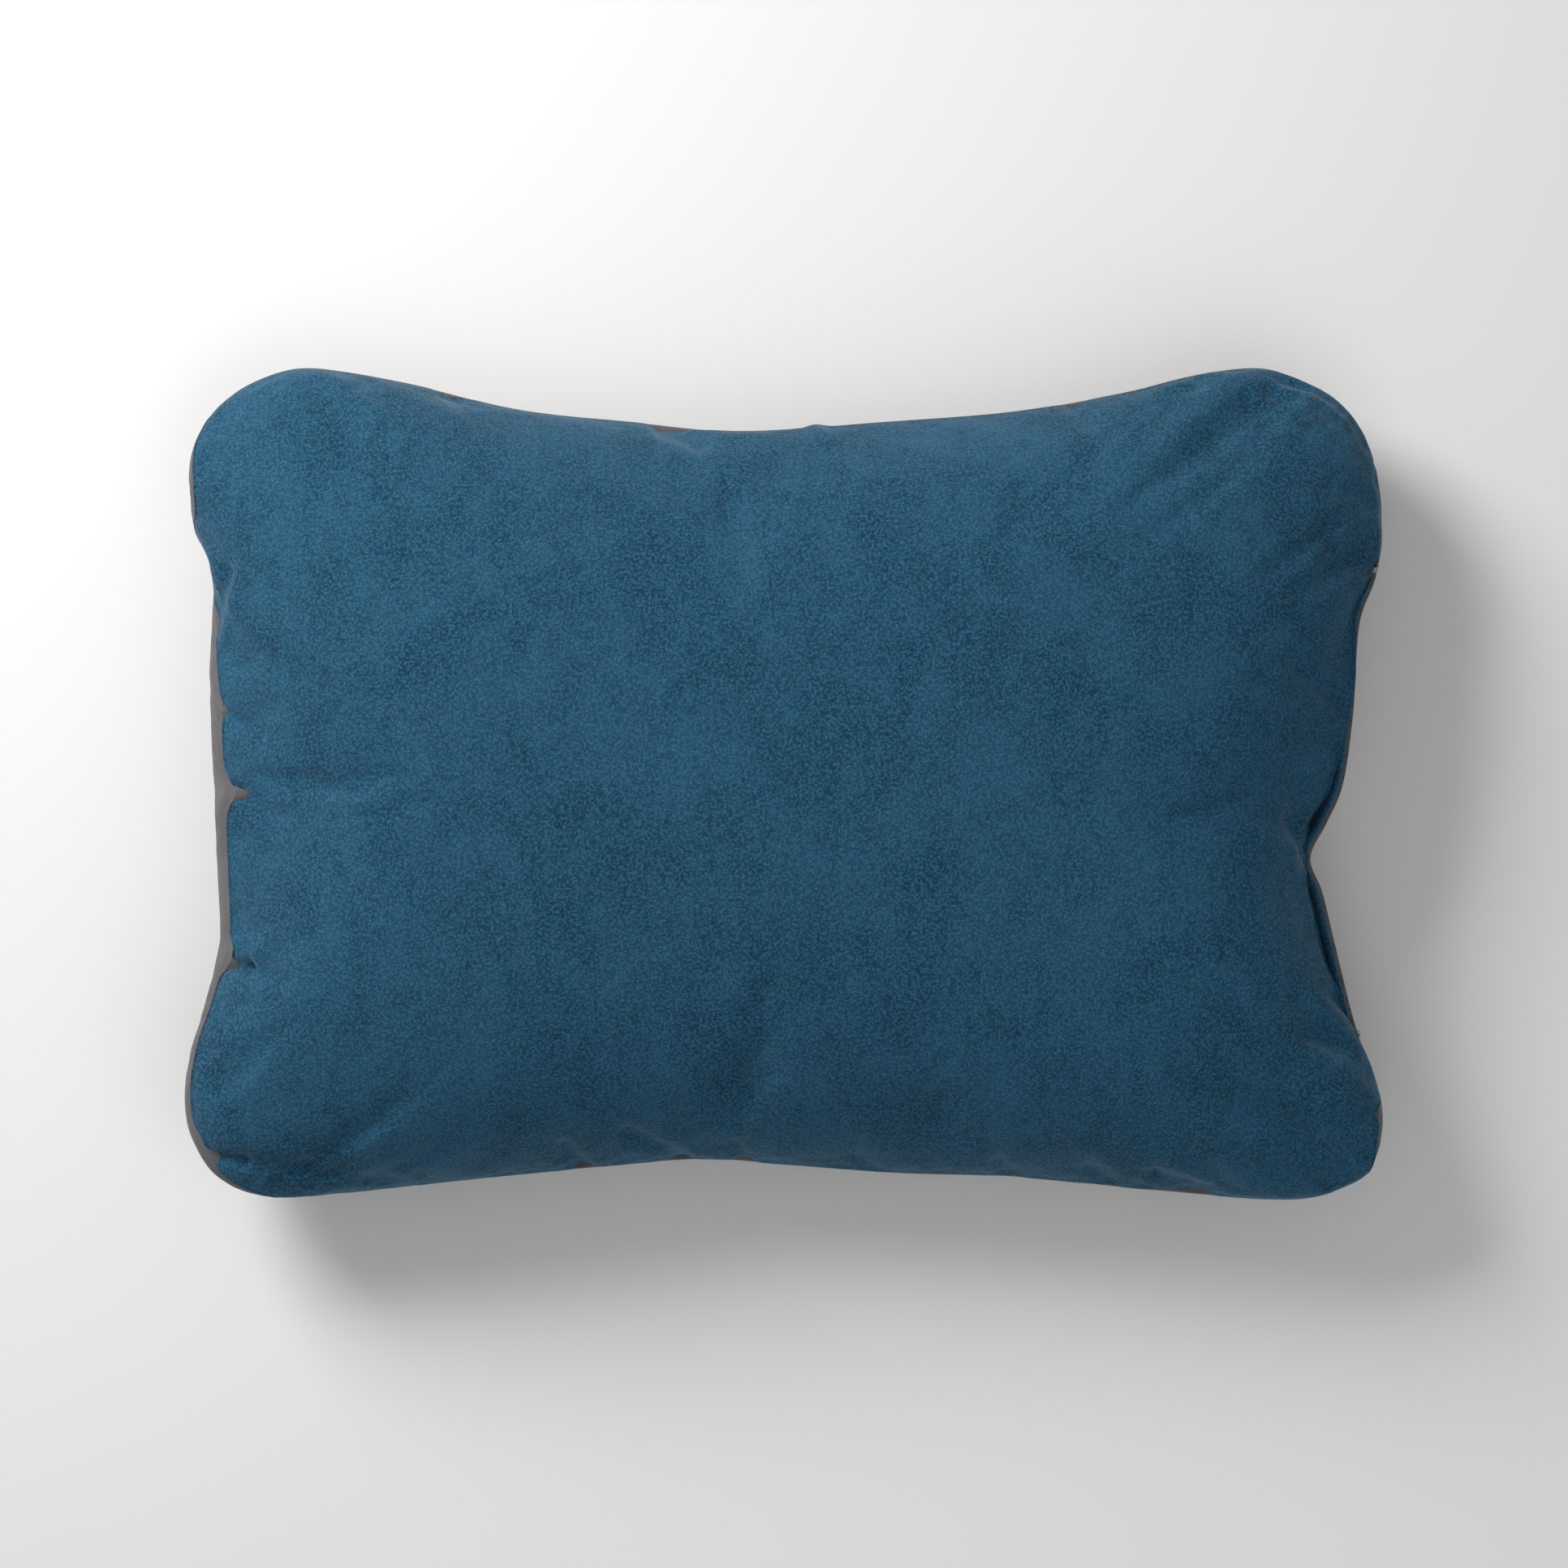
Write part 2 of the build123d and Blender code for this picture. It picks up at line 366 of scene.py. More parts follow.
SIM_COLUMNS = 4  # every fourth column is enough for the trial case
SIM_VOXEL = 6 * MM
SIM_FRAMES = 20
SWELL_LIMIT = 15 * MM  # no point moves further than this
SWELL_PAST_OUTLINE = 0.15  # share kept of any swelling past the widest outline


def trial_case():
    """The whole case as one closed bag of even faces, with its seam, to inflate."""
    bag = Sheet()
    turns = np.concatenate([np.linspace(-90, 0, 13)[:-1], np.linspace(0, 88, 34)])
    for row in [*under_side(8)[::-1], *drawn_in(np.tile(turns[:, None], COLUMNS))]:
        bag.ring(row[::SIM_COLUMNS])
    bag.close(at_spine(LOFT - CROWN_DROP)[::SIM_COLUMNS])
    bag.faces.append(tuple(bag.rings[0][::-1]))
    case = placed("trial_case", bag.mesh("trial_case"))
    remesh = case.modifiers.new("even", "REMESH")
    remesh.mode = "VOXEL"
    remesh.voxel_size = SIM_VOXEL
    even = bpy.data.meshes.new_from_object(
        case.evaluated_get(bpy.context.evaluated_depsgraph_get())
    )
    case.modifiers.clear()
    case.data = even
    return case, drawn_in(turn_of(SEAM_Z)[None])[0]


def inflate():
    """The trial case before and after its cloth is blown up against the held seam."""
    case, seam = trial_case()
    rest = np.array([v.co for v in case.data.vertices])
    tree = BVHTree.FromPolygons(
        [tuple(p) for p in np.vstack([seam, seam + (0, 0, 1e-4)])],
        [(i, (i + 1) % COLUMNS, COLUMNS + (i + 1) % COLUMNS, COLUMNS + i) for i in range(COLUMNS)],
    )
    held = case.vertex_groups.new(name="held")
    for i, p in enumerate(rest):
        gap = tree.find_nearest(Vector(p))[3]
        hold = 1.0 if p[2] < 1 * MM else float(smooth((6 * MM - gap) / (3.5 * MM)))
        if hold > 0:
            held.add([i], hold, "REPLACE")
    cloth = case.modifiers.new("cloth", "CLOTH")
    settings = cloth.settings
    settings.quality = 6
    settings.mass = 0.2
    settings.tension_stiffness = settings.compression_stiffness = 14
    settings.shear_stiffness = 6
    settings.bending_stiffness = 0.25
    settings.use_pressure = True
    settings.uniform_pressure_force = 3.0
    settings.shrink_min = -0.007
    settings.vertex_group_mass = "held"
    settings.effector_weights.gravity = 0
    cloth.point_cache.frame_start = 1
    cloth.point_cache.frame_end = SIM_FRAMES
    scene = bpy.context.scene
    for number in range(1, SIM_FRAMES + 1):
        scene.frame_set(number)
    blown = case.evaluated_get(bpy.context.evaluated_depsgraph_get()).data
    moved = np.array([v.co for v in blown.vertices])
    faces = [tuple(f.vertices) for f in case.data.polygons]
    scene.frame_set(1)
    bpy.data.objects.remove(case)
    return rest, moved, faces


def swelling():
    """A function that gives how far the inflated cloth moved near each point."""
    rest, moved, faces = inflate()
    shift = moved - rest
    length = np.linalg.norm(shift, axis=1)[:, None]
    shift *= SWELL_LIMIT * np.tanh(length / SWELL_LIMIT) / np.maximum(length, 1e-9)
    tree = BVHTree.FromPolygons([tuple(p) for p in rest], faces)

    def swell(points):
        found = np.zeros_like(points)
        for i, p in enumerate(points):
            place, _, face, _ = tree.find_nearest(Vector(p))
            corners = faces[face]
            weights = poly_3d_calc([Vector(rest[c]) for c in corners], place)
            found[i] = np.array(weights) @ shift[list(corners)]
        return found

    return swell


swell = swelling()


def swollen(grid):
    """The drawn-in rows after swelling, kept close to the widest outline."""
    grid = grid + swell(grid.reshape(-1, 3)).reshape(grid.shape)
    past = np.maximum(np.sum((grid[..., :2] - OUTLINE) * OUTWARD, axis=-1), 0)
    grid[..., :2] -= OUTWARD * (past * (1 - SWELL_PAST_OUTLINE))[..., None]
    return grid


# ---------------------------------------------------------------- creases

# Folds of the face, each (from x, y, to x, y, half width, depth) in mm. A ridge has a
# negative depth.
CREASES = [
    # far end
    (-268, 103, -279, 72, 4.0, 2.8), (-261, 104, -271, 70, 4.0, -1.6),
    (-276, 38, -250, 24, 4.5, 2.2), (-276, -3, -262, -5, 3.0, 4.0),
    (-262, -5, -240, -16, 4.5, 2.2), (-274, -86, -258, -88, 3.0, 4.5),
    (-258, -88, -238, -96, 4.5, 2.4), (-272, -74, -252, -80, 4.5, -1.4),
    (-287, -179, -262, -183, 3.5, 3.6), (-262, -183, -214, -188, 5.0, 2.4),
    # lower side
    (-204, -192, -184, -194, 4.0, 1.8), (-107, -175, -97, -189, 4.0, 3.2),
    (-76, -168, -48, -184, 4.5, 3.0), (-25, -174, -18, -186, 3.5, 2.6),
    (103, -183, 112, -191, 4.0, 2.2), (146, -187, 160, -195, 4.0, 2.2),
    (178, -190, 205, -199, 4.5, 3.4),
    # pocket end
    (245, 56, 273, 32, 3.6, 2.4), (225, 48, 243, 42, 4.5, 1.2), (249, 8, 260, -12, 5.0, -1.8),
    (243, -16, 257, -37, 4.5, 3.6), (252, -34, 262, -42, 4.0, 2.8),
    (281, -156, 291, -161, 3.5, 2.4), (248, -119, 275, -127, 5.0, 3.2),
    (262, 108, 288, 106, 5.0, 2.2),
    # upper side
    (-167, 191, -157, 186, 3.5, 2.0), (-61, 175, -39, 165, 5.0, 3.0),
    (14, 176, 22, 165, 4.5, -1.5), (140, 186, 150, 175, 4.5, 2.2),
]


def crease_depth(x, y):
    """How deep the cloth is folded in at each place."""
    depth = np.zeros_like(x)
    for x0, y0, x1, y1, half_width, deep in CREASES:
        a, b = np.array([x0, y0]) * MM, np.array([x1, y1]) * MM
        run = b - a
        t = ((x - a[0]) * run[0] + (y - a[1]) * run[1]) / (run @ run)
        near = np.clip(t, 0, 1)
        off = np.hypot(x - a[0] - near * run[0], y - a[1] - near * run[1])
        past = np.abs(t - near) * np.linalg.norm(run)
        depth += deep * MM * np.exp(-((off / (half_width * MM)) ** 2)) * np.exp(-past / (4 * MM))
    return depth


def lumps(points, size, depth):
    """Soft unevenness of the stuffing, the same each time."""
    return np.array([noise.noise(Vector(p) / size) for p in points]) * depth


# ---------------------------------------------------------------- panels


def flat_cloth(grid):
    """Where each point lies on its panel before it was sewn: its place seen from above, moved out
    by the length its slope takes up. grid is rows by columns, from the seam to the spine."""
    step = np.diff(grid, axis=0)
    taken = np.linalg.norm(step, axis=2) - np.linalg.norm(step[..., :2], axis=2)
    extra = np.concatenate([np.cumsum(taken[::-1], axis=0)[::-1], np.zeros((1, COLUMNS))])
    away = OUTLINE - SPINE
    away = away / np.linalg.norm(away, axis=1)[:, None]
    return grid[..., :2] + away * extra[..., None]


def build_panel(name, grid, tucks, skip, flip):
    """A panel: its tucked margin, then its rows, paired up towards the spine, and closed there."""
    flat = flat_cloth(grid)
    sheet, places = Sheet(), []
    for row in tucks:
        sheet.ring(row)
        places.append(flat[0])
    for row, place, every in zip(grid[:-1], flat[:-1], skip):
        sheet.ring(row[::every])
        places.append(place[::every])
    sheet.close(grid[-1][::every])
    places.append(both_sides(flat[-1][::every]))
    mesh = sheet.mesh(name, flip)
    mark_cloth(mesh, np.vstack(places))
    return placed(name, mesh)


def outward_normals(grid):
    """Unit normals of a rows-by-columns grid, facing out of the case."""
    across = np.roll(grid, -1, axis=1) - np.roll(grid, 1, axis=1)
    up = np.gradient(grid, axis=0)
    normal = np.cross(across, up)
    normal /= np.maximum(np.linalg.norm(normal, axis=2), 1e-12)[..., None]
    return normal


def tuck(edge, direction, radius, reach, steps=5, runs=2):
    """Rows that turn an edge inwards: down (-1) or up (+1) round a radius, then straight in."""
    inward = np.column_stack([-OUTWARD, np.zeros(COLUMNS)])
    rise = np.array([0, 0, direction])
    radius = np.broadcast_to(radius, (COLUMNS,))[:, None]
    reach = np.broadcast_to(reach, (COLUMNS,))[:, None]
    rows = []
    for i in range(1, steps + 1):
        a = math.pi / 2 * i / steps
        rows.append(edge + rise * radius * math.sin(a) + inward * radius * (1 - math.cos(a)))
    for i in range(1, runs + 1):
        rows.append(rows[steps - 1] + inward * reach * i / runs)
    return rows[::-1]


def face_panel():
    """The brushed face: from the seam, or the mouth's lip, over the crown."""
    start = turn_of(LIP_Z)
    share = np.linspace(0, LAST_RING, FACE_ROWS)[:, None]
    crown = at_spine(LOFT - CROWN_DROP)
    grid = np.concatenate([drawn_in(start + (90 - start) * share), crown[None]])
    share = np.append(share, 1)[:, None]
    plump = lumps(grid.reshape(-1, 3), 75 * MM, 1.6 * MM).reshape(grid.shape[:2])
    plump = plump * smooth(share / 0.25)
    grid = swollen(grid)
    upright = smooth((share - 0.75) / 0.2)[..., None]
    normal = outward_normals(grid) * (1 - upright) + np.array([0, 0, 1]) * upright
    fold = crease_depth(grid[..., 0], grid[..., 1])
    grid = grid + normal * (plump - fold)[..., None]
    # The lip is set in from the outline, and the face follows it for a little way
    inset = np.sum((OUTLINE - grid[0, :, :2]) * OUTWARD, axis=-1)
    drawn = (LIP_INSET - inset) * smooth(GAPE * 6)
    grid[..., :2] -= OUTWARD * (drawn * np.exp(-share * 9.0))[..., None]
    radius = SEAM_RADIUS + (HEM_RADIUS - SEAM_RADIUS) * smooth(GAPE * 2)
    grid[0] += np.column_stack([np.zeros((COLUMNS, 2)), radius])
    reach = SEAM_TUCK + (POCKET_REACH - SEAM_TUCK) * smooth(GAPE * 3)
    skip = [columns_at(s) for s in share[:, 0]]
    return build_panel("face_panel", grid, tuck(grid[0], -1, radius, reach), skip, False)


def back_panel():
    """The woven back, from the seam down the side and across the ground. Also gives its edge
    at the seam."""
    start = turn_of(SEAM_Z)
    share = np.linspace(0, 1, SIDE_ROWS)[:, None]
    side = drawn_in(start + (-90 - start) * share)
    grid = np.concatenate([side, under_side(UNDER_ROWS), at_spine(0)[None]])
    grid = swollen(grid)
    grid[..., 2] = np.maximum(grid[..., 2], 0)
    grid[0, :, 2] -= SEAM_RADIUS
    skip = [1] * SIDE_ROWS + [
        2 ** (1 + (i > UNDER_ROWS * 0.35) + (i > UNDER_ROWS * 0.7)) for i in range(UNDER_ROWS)
    ]
    # At the mouth the margin is cut back, because the facing takes over
    cut_back = smooth(GAPE * 3)
    reach = SEAM_TUCK + (1.6 * MM - SEAM_TUCK) * cut_back
    rows = tuck(grid[0], 1, SEAM_RADIUS * (1 - 0.4 * cut_back), reach)
    return build_panel("back_panel_cloth", grid, rows, skip, True), grid[0]


face = face_panel()
back, back_edge = back_panel()

# ---------------------------------------------------------------- pocket

MOUTH_COLUMNS = np.flatnonzero(AT_MOUTH)
# (in from the back lip, over it) along the facing, in mm: up from the seam, over, and in
FACING_PROFILE = [
    (2.0, -0.6), (1.8, 0.7), (2.0, 1.7), (2.7, 2.4), (3.6, 2.6), (4.5, 2.1), (5.3, 0.5),
    (6.1, -1.8), (7.5, -4.0), (10, -4.6), (16, -2.8), (26, 0.5), (38, 3.0), (50, 3.4),
]


def strip(name, rows, places):
    """A sheet of cloth from rows of points of one length, and their places on the flat cloth."""
    rows, places = np.array(rows), np.array(places)
    height, width = rows.shape[:2]
    faces = [
        (i * width + j, i * width + j + 1, (i + 1) * width + j + 1, (i + 1) * width + j)
        for i in range(height - 1) for j in range(width - 1)
    ]
    mesh = cloth_mesh(name, rows.reshape(-1, 3), faces)
    mark_cloth(mesh, places.reshape(-1, 2))
    return placed(name, mesh)


def facing():
    """The blue strip that finishes the mouth's back lip and runs on as the pocket's floor."""
    edge = back_edge[MOUTH_COLUMNS]
    inward = np.column_stack([-OUTWARD[MOUTH_COLUMNS], np.zeros(len(MOUTH_COLUMNS))])
    rise = np.array([0, 0, 1.0])
    gape = smooth(GAPE[MOUTH_COLUMNS] * 3)[:, None]
    rows, places = [], []
    run, last = 0.0, FACING_PROFILE[0]
    for reach, over in FACING_PROFILE:
        run += math.dist((reach, over), last) * MM
        last = (reach, over)
        rows.append(edge + inward * reach * MM + rise * (over * gape - 0.6 * (1 - gape)) * MM)
        places.append(np.column_stack([edge[:, 0] - run, edge[:, 1]]))
    return strip("mouth_facing_cloth", rows, places)


def pocket_lining():
    """The two leaves of the pocket: a flat sleeve, closed at its inner end and at its sides."""
    low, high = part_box("pocket_leaf_back")
    floor_z, roof_z = low.z + 1.6 * MM, high.z - 0.6 * MM
    half = (MOUTH_TOP - MOUTH_BOTTOM) / 2 + 4 * MM
    middle_y = (MOUTH_TOP + MOUTH_BOTTOM) / 2
    rows, places = [], []
    across = np.linspace(0, 2 * math.pi, 161)
    for x in np.linspace(POCKET_END, LINING_FRONT, 44):
        open_share = float(smooth((x - POCKET_END) / (16 * MM)))
        narrowed = 0.04 * float(smooth((LINING_FRONT - x) / (LINING_FRONT - POCKET_END)))
        width = half * (1 - narrowed)
        side = np.clip(1.35 * np.cos(across), -1, 1)
        y = middle_y + width * side
        lift = np.sin(across) * (roof_z - floor_z) / 2 * (0.15 + 0.75 * open_share)
        sag = np.array([noise.noise(Vector((x * 18, v * 14, 3.0))) for v in y]) * 0.8 * MM
        rows.append(np.column_stack([np.full_like(y, x), y, (floor_z + roof_z) / 2 + lift + sag]))
        places.append(np.column_stack([np.full_like(y, x), y + lift * 0.2]))
    shut = rows[0].copy()
    shut[:, 0] -= 1 * MM
    shut[:, 2] = rows[0][:, 2].mean()
    return strip("pocket_lining_cloth", [shut, *rows], [places[0], *places])


def thread_run(points, radius, sides=6):
    """A round thread along a short path, as points and faces. Its two ends taper."""
    points = np.array(points)
    ahead = np.gradient(points, axis=0)
    ahead /= np.linalg.norm(ahead, axis=1)[:, None]
    side = np.cross(ahead, (0.3, 0.2, 1.0))
    side /= np.linalg.norm(side, axis=1)[:, None]
    other = np.cross(ahead, side)
    taper = np.ones(len(points))
    taper[0] = taper[-1] = 0.35
    ring = [
        points + (side * math.cos(a) + other * math.sin(a)) * radius * taper[:, None]
        for a in np.linspace(0, 2 * math.pi, sides, endpoint=False)
    ]
    verts = np.stack(ring, axis=1).reshape(-1, 3)
    last = (len(points) - 1) * sides
    faces = [
        (i + j, i + (j + 1) % sides, i + sides + (j + 1) % sides, i + sides + j)
        for i in range(0, last, sides) for j in range(sides)
    ]
    faces += [tuple(range(sides))[::-1], tuple(range(last, last + sides))]
    return verts, faces


def bar_tack(name, y):
    """A close row of thread strands over one end of the mouth."""
    column = int(np.argmin(np.where(X > MOUTH_SIDE, np.abs(Y - y), 1)))
    beside, out = (np.array([*way[column], 0.0]) for way in (TANGENT, OUTWARD))
    middle = (BACK_LIP_Z + FRONT_LIP_Z) / 2 - 4 * MM
    verts, faces = np.zeros((0, 3)), []
    for strand in range(TACK_STRANDS):
        along = beside * (strand - TACK_STRANDS / 2) * TACK_PITCH
        path = []
        for t in np.linspace(-1, 1, 9):
            z = middle + t * TACK_HEIGHT / 2 + (strand % 2) * 0.3 * MM
            turn = float(turn_of(np.array([z]))[0])
            under = drawn_in(np.full((1, COLUMNS), turn))[0][column]
            path.append(under + along + out * (0.5 - 0.9 * t * t) * MM)
        points, quads = thread_run(path, THREAD_RADIUS)
        faces += [tuple(i + len(verts) for i in quad) for quad in quads]
        verts = np.vstack([verts, points])
    return placed(name, cloth_mesh(name, verts, faces))


facing_strip = facing()
lining = pocket_lining()
tacks = {
    "bar_tack_upper": bar_tack("tack_thread_upper", MOUTH_TOP),
    "bar_tack_lower": bar_tack("tack_thread_lower", MOUTH_BOTTOM),
}

# ---------------------------------------------------------------- looks

SUEDE_DARK = (0.0040, 0.030, 0.058)
SUEDE_LIGHT = (0.0120, 0.070, 0.130)
SUEDE_WORN = (0.028, 0.130, 0.222)  # streaks where the nap is rubbed flat
SUEDE_TIP = (0.027, 0.132, 0.228)  # tips of the nap
GRAY_DARK, GRAY_LIGHT = (0.098, 0.095, 0.100), (0.134, 0.130, 0.137)
LINING_DARK, LINING_LIGHT = (0.062, 0.060, 0.064), (0.090, 0.087, 0.093)
GAP_COLOUR = (0.026, 0.025, 0.027)  # between the threads of a weave
THREAD_DARK, THREAD_LIGHT = (0.26, 0.25, 0.24), (0.44, 0.43, 0.41)


def feed(tree, socket, value):
    """Sets an input to a number or colour, or joins it to another node's output."""
    if isinstance(value, bpy.types.NodeSocket):
        tree.links.new(value, socket)
    elif isinstance(value, tuple) and socket.type == "RGBA":
        socket.default_value = (*value, 1)
    else:
        socket.default_value = value


def feed_all(tree, node, sockets):
    """Feeds a node's inputs by name, with _ for each space."""
    for name, value in sockets.items():
        feed(tree, node.inputs[name.replace("_", " ")], value)


def add(tree, kind, **sockets):
    """A node with its inputs fed."""
    made = tree.nodes.new(kind)
    feed_all(tree, made, sockets)
    return made


def use(tree, which, **sockets):
    """A node group placed in a tree, with its inputs fed."""
    made = tree.nodes.new("ShaderNodeGroup")
    made.node_tree = which
    feed_all(tree, made, sockets)
    return made


def blended(tree, share, low, high):
    """A colour between two others."""
    made = tree.nodes.new("ShaderNodeMix")
    made.data_type = "RGBA"
    feed(tree, made.inputs["Factor"], share)
    feed(tree, made.inputs[6], low)
    feed(tree, made.inputs[7], high)
    return made.outputs[2]


def maths(tree, operation, a, b=0.0):
    """The result of one sum on two numbers."""
    made = tree.nodes.new("ShaderNodeMath")
    made.operation = operation
    feed(tree, made.inputs[0], a)
    feed(tree, made.inputs[1], b)
    return made.outputs[0]


def weighed(tree, *parts):
    """Values added up, each given as (value, how much of it)."""
    total = None
    for value, share in parts:
        part = maths(tree, "MULTIPLY", value, share)
        total = part if total is None else maths(tree, "ADD", total, part)
    return total


def ranged(tree, value, low, high, to_low=0.0, to_high=1.0):
    """value spread from low..high to to_low..to_high, eased and kept inside."""
    made = tree.nodes.new("ShaderNodeMapRange")
    made.interpolation_type = "SMOOTHSTEP"
    ends = {"From_Min": low, "From_Max": high, "To_Min": to_low, "To_Max": to_high}
    feed_all(tree, made, {"Value": value, **ends})
    return made.outputs["Result"]


def stretched(tree, place, scale):
    """A place on the cloth, scaled along each direction."""
    made = add(tree, "ShaderNodeVectorMath")
    made.operation = "MULTIPLY"
    feed(tree, made.inputs[0], place)
    feed(tree, made.inputs[1], scale)
    return made.outputs[0]


def group(name, inputs, outputs):
    """An empty node group, and its two end nodes. Its inputs are numbers, but for Cloth, which
    is a place on the cloth."""
    made = bpy.data.node_groups.new(name, "ShaderNodeTree")
    for label in inputs:
        kind = "NodeSocketVector" if label == "Cloth" else "NodeSocketFloat"
        made.interface.new_socket(label, in_out="INPUT", socket_type=kind)
    for label in outputs:
        made.interface.new_socket(label, in_out="OUTPUT", socket_type="NodeSocketFloat")
    return made, made.nodes.new("NodeGroupInput"), made.nodes.new("NodeGroupOutput")


def mottling_group():
    """Soft patches of one size, from 0 to 1, with wandering edges."""
    made, given, out = group("soft_mottling", ("Cloth", "Patches per metre"), ("Patch",))
    cloud = add(
        made, "ShaderNodeTexNoise", Vector=given.outputs["Cloth"],
        Scale=given.outputs["Patches per metre"], Detail=4.0, Roughness=0.55, Distortion=0.9,
    )
    feed(made, out.inputs["Patch"], ranged(made, cloud.outputs["Fac"], 0.34, 0.66))
    return made


def weave_group():
    """A plain weave: threads over and under, as a height and as the dark gaps between them."""
    made, given, out = group("plain_weave", ("Cloth", "Threads per metre"), ("Height", "Gap"))
    spread = add(made, "ShaderNodeVectorMath")
    spread.operation = "SCALE"
    feed(made, spread.inputs[0], given.outputs["Cloth"])
    feed(made, spread.inputs["Scale"], given.outputs["Threads per metre"])
    wobble = add(made, "ShaderNodeTexNoise", Vector=given.outputs["Cloth"], Scale=160.0, Detail=2.0)
    parts = add(made, "ShaderNodeSeparateXYZ", Vector=spread.outputs[0])
    strayed = maths(made, "MULTIPLY", wobble.outputs["Fac"], 0.9)
    waves = []
    for axis in ("X", "Y"):
        moved = maths(made, "ADD", parts.outputs[axis], strayed)
        waves.append(maths(made, "SINE", maths(made, "MULTIPLY", moved, math.pi)))
    warp, weft = (maths(made, "ABSOLUTE", w) for w in waves)
    over = maths(made, "MULTIPLY", waves[0], waves[1])
    crown = maths(made, "MAXIMUM", warp, weft)
    feed(made, out.inputs["Height"], weighed(made, (crown, 0.6), (over, 0.25)))
    feed(made, out.inputs["Gap"], ranged(made, maths(made, "ADD", warp, weft), 0.35, 1.1, 1.0, 0.0))
    return made


def streaks_group():
    """Fine streaks that run the width of the cloth, from 0 to 1."""
    made, given, out = group("fine_streaks", ("Cloth", "Streaks per metre"), ("Streak",))
    drawn_out = stretched(made, given.outputs["Cloth"], (1.0, 0.06, 1.0))
    streak = add(
        made, "ShaderNodeTexNoise", Vector=drawn_out,
        Scale=given.outputs["Streaks per metre"], Detail=3.0, Roughness=0.6,
    )
    feed(made, out.inputs["Streak"], streak.outputs["Fac"])
    return made


MOTTLING = mottling_group()
WEAVE = weave_group()
STREAKS = streaks_group()


def plain(name, **sockets):
    """A material with its shader's own numbers and colours, to build on."""
    made = bpy.data.materials.new(name)
    made.use_nodes = True
    tree = made.node_tree
    shader = tree.nodes["Principled BSDF"]
    feed_all(tree, shader, sockets)
    return made, tree, shader


def cloth_place(tree):
    """The place on the flat cloth, which stays with the cloth when it moves."""
    made = tree.nodes.new("ShaderNodeAttribute")
    made.attribute_name = "cloth"
    return made.outputs["Vector"]


def bumped(tree, shader, height, depth, strength):
    """Small relief on a shader."""
    bump = add(tree, "ShaderNodeBump", Height=height, Strength=strength, Distance=depth)
    feed(tree, shader.inputs["Normal"], bump.outputs["Normal"])


def brushed_suede():
    """Blue brushed microsuede: a short nap that lies light or dark where it was stroked."""
    made, tree, shader = plain(
        "blue_microsuede", Specular_IOR_Level=0.18, Sheen_Weight=0.24, Sheen_Roughness=0.45,
        Sheen_Tint=(0.62, 0.82, 1.0),
    )
    place = cloth_place(tree)
    drawn_out = stretched(tree, place, (1.0, 0.55, 1.0))
    broad = use(tree, MOTTLING, Cloth=place, Patches_per_metre=17.0).outputs["Patch"]
    stroked = use(tree, MOTTLING, Cloth=drawn_out, Patches_per_metre=52.0).outputs["Patch"]
    small = use(tree, MOTTLING, Cloth=place, Patches_per_metre=190.0).outputs["Patch"]
    nap = weighed(tree, (broad, 0.42), (stroked, 0.36), (small, 0.22))
    streak = use(tree, STREAKS, Cloth=place, Streaks_per_metre=420.0).outputs["Streak"]
    fuzz = add(tree, "ShaderNodeTexNoise", Vector=place, Scale=700.0, Detail=3.0, Roughness=0.7)
    pebbles = add(tree, "ShaderNodeTexVoronoi", Vector=place, Scale=820.0, Randomness=1.0)
    grain = weighed(tree, (fuzz.outputs["Fac"], 1.0), (pebbles.outputs["Distance"], -0.35))
    colour = blended(tree, nap, SUEDE_DARK, SUEDE_LIGHT)
    colour = blended(tree, ranged(tree, streak, 0.66, 0.80, 0.0, 0.35), colour, SUEDE_WORN)
    colour = blended(tree, ranged(tree, grain, 0.20, 0.52, 0.0, 0.85), colour, SUEDE_TIP)
    feed(tree, shader.inputs["Base Color"], colour)
    feed(tree, shader.inputs["Roughness"], ranged(tree, nap, 0.2, 0.8, 0.93, 0.80))
    bumped(tree, shader, weighed(tree, (grain, 0.8), (nap, 0.6)), 0.9 * MM, 0.55)
    return made


def woven(name, dark, light, threads):
    """Plain woven polyester in one colour, with uneven threads."""
    made, tree, shader = plain(name, Specular_IOR_Level=0.3, Sheen_Weight=0.12)
    place = cloth_place(tree)
    weave = use(tree, WEAVE, Cloth=place, Threads_per_metre=threads)
    patch = use(tree, MOTTLING, Cloth=place, Patches_per_metre=30.0).outputs["Patch"]
    slub = use(tree, STREAKS, Cloth=place, Streaks_per_metre=900.0).outputs["Streak"]
    shade = weighed(tree, (patch, 0.25), (slub, 0.45))
    colour = blended(tree, ranged(tree, shade, 0.05, 0.65), dark, light)
    colour = blended(tree, maths(tree, "MULTIPLY", weave.outputs["Gap"], 0.55), colour, GAP_COLOUR)
    feed(tree, shader.inputs["Base Color"], colour)
    feed(tree, shader.inputs["Roughness"], ranged(tree, weave.outputs["Gap"], 0.0, 1.0, 0.72, 0.92))
    bumped(tree, shader, weave.outputs["Height"], 0.25 * MM, 0.6)
    return made


